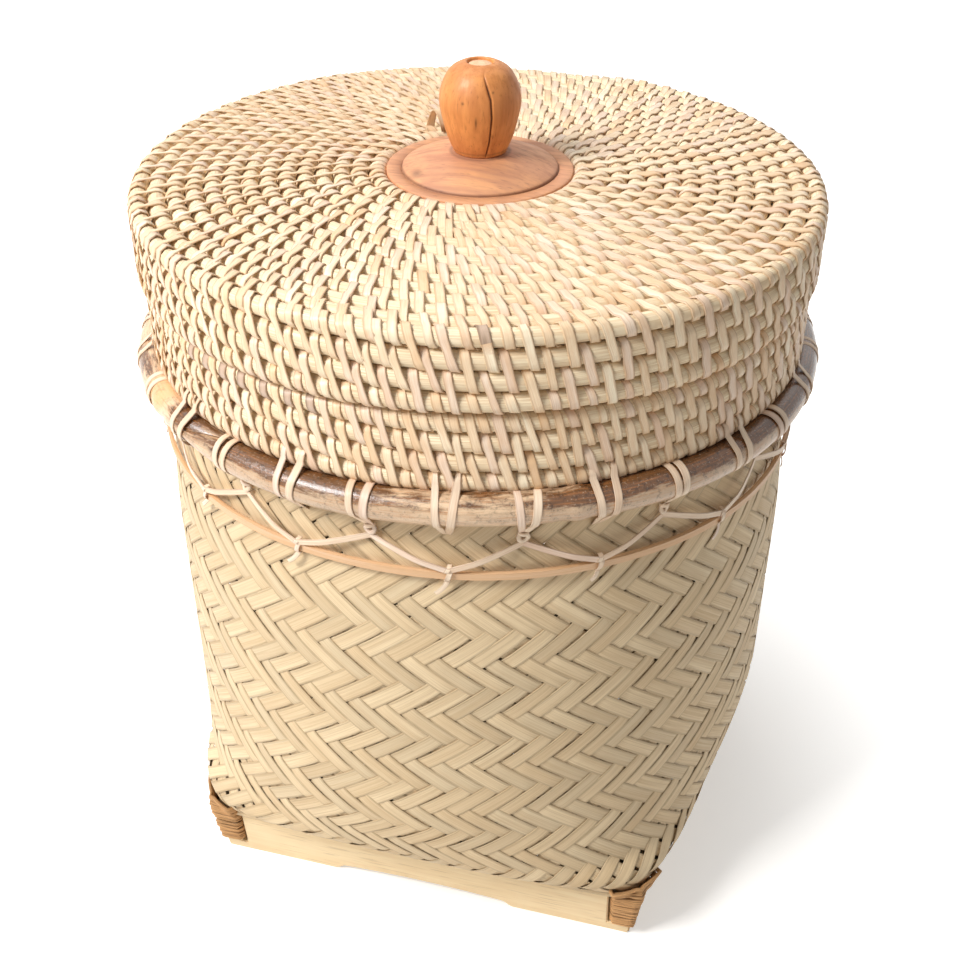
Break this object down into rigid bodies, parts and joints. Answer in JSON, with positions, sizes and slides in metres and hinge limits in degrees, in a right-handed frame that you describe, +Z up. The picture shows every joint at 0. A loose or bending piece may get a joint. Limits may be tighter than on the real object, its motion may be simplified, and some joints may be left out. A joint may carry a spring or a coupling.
{
  "type": "lidded rattan basket",
  "caption": "Round rattan basket with a coiled lid and turned knob, coiled neck, lashed rim pole, twill-woven bamboo body and a square base of boards.",
  "frame": {"origin": "on the floor under the middle of the basket", "axes": "+Z up along the basket and its lid, -Y out of the front base board, +X to the right seen from the front"},
  "size_m": [0.3134, 0.3136, 0.3989],
  "materials": {
    "coiled_rattan": "satin, pale straw",
    "peel_strip": "satin, tan",
    "woven_bamboo": "satin, straw beige",
    "split_cane": "satin, tan",
    "pole_bark": "glossy, mottled brown",
    "brown_cane": "rough, orange brown",
    "base_board": "planed, pale yellow",
    "knob_wood": "waxed, warm brown",
    "disc_wood": "waxed, pinkish brown",
    "peg_wood": "bare end grain, pale"
  },
  "bodies": {
    "basket": {"collar_coil": "coiled_rattan", "seat_hoop": "split_cane", "inner_rim_hoop": "split_cane", "rim_pole": "pole_bark", "lower_hoop": "split_cane", "zigzag_lace": "peel_strip", "woven_body": "woven_bamboo", "woven_floor": "woven_bamboo", "base_board_front": "base_board", "base_board_right": "base_board", "base_board_back": "base_board", "base_board_left": "base_board", "corner_lashing_front_right": "brown_cane", "corner_lashing_right_back": "brown_cane", "corner_lashing_back_left": "brown_cane", "corner_lashing_left_front": "brown_cane", "knotted_lashing_01": "peel_strip", "knotted_lashing_02": "peel_strip", "knotted_lashing_03": "peel_strip", "knotted_lashing_04": "peel_strip", "knotted_lashing_05": "peel_strip", "knotted_lashing_06": "peel_strip", "knotted_lashing_07": "peel_strip", "knotted_lashing_08": "peel_strip", "knotted_lashing_09": "peel_strip", "knotted_lashing_10": "peel_strip", "knotted_lashing_11": "peel_strip", "knotted_lashing_12": "peel_strip", "knotted_lashing_13": "peel_strip", "knotted_lashing_14": "peel_strip", "knotted_lashing_15": "peel_strip", "plain_lashing_01": "peel_strip", "plain_lashing_02": "peel_strip", "plain_lashing_03": "peel_strip", "plain_lashing_04": "peel_strip", "plain_lashing_05": "peel_strip", "plain_lashing_06": "peel_strip", "plain_lashing_07": "peel_strip", "plain_lashing_08": "peel_strip", "plain_lashing_09": "peel_strip", "plain_lashing_10": "peel_strip", "plain_lashing_11": "peel_strip", "plain_lashing_12": "peel_strip", "plain_lashing_13": "peel_strip", "plain_lashing_14": "peel_strip", "plain_lashing_15": "peel_strip"},
    "lid": {"lid_knob": "knob_wood", "knob_dowel": "peg_wood", "knob_plate": "disc_wood", "lid_top_coil": "coiled_rattan", "lid_wall_coil": "coiled_rattan"}
  },
  "joints": [
    {"name": "lid_lift", "type": "slide", "parent": "basket", "child": "lid", "axis": [0, 0, 1], "range_m": [0, 0.15]}
  ]
}
